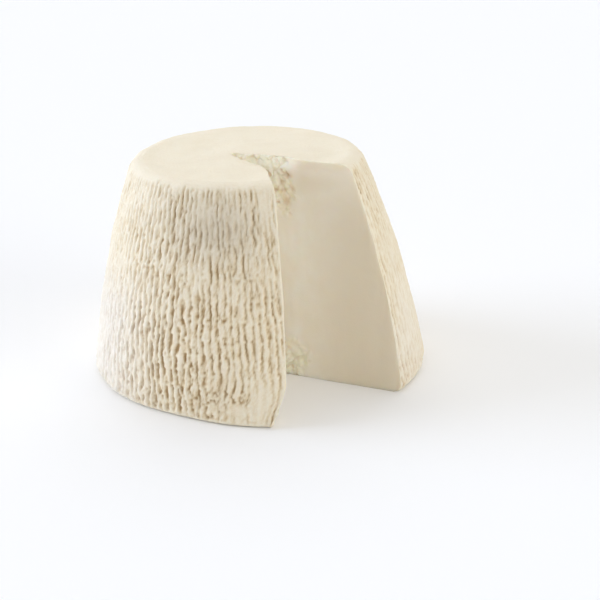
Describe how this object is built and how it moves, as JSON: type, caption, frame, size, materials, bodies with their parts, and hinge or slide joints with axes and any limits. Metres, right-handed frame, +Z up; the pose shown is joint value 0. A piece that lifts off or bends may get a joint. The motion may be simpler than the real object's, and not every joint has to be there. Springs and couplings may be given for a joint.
{
  "type": "moulded ricotta round",
  "caption": "Round of moulded ricotta, a low rounded frustum with upright basket ribs on its side and a wedge cut out down to its middle.",
  "frame": {"origin": "middle of the round's foot, on the surface it stands on", "axes": "+Z up from the flat foot to the narrower top, -Y towards the front, +X to the right, with the missing wedge at the front right"},
  "size_m": [0.1992, 0.1973, 0.1306],
  "materials": {
    "curd": "matt, moist, fine-grained pressed curd with a drier ribbed rind"
  },
  "bodies": {
    "root": {"ricotta_round": "curd"}
  },
  "joints": []
}
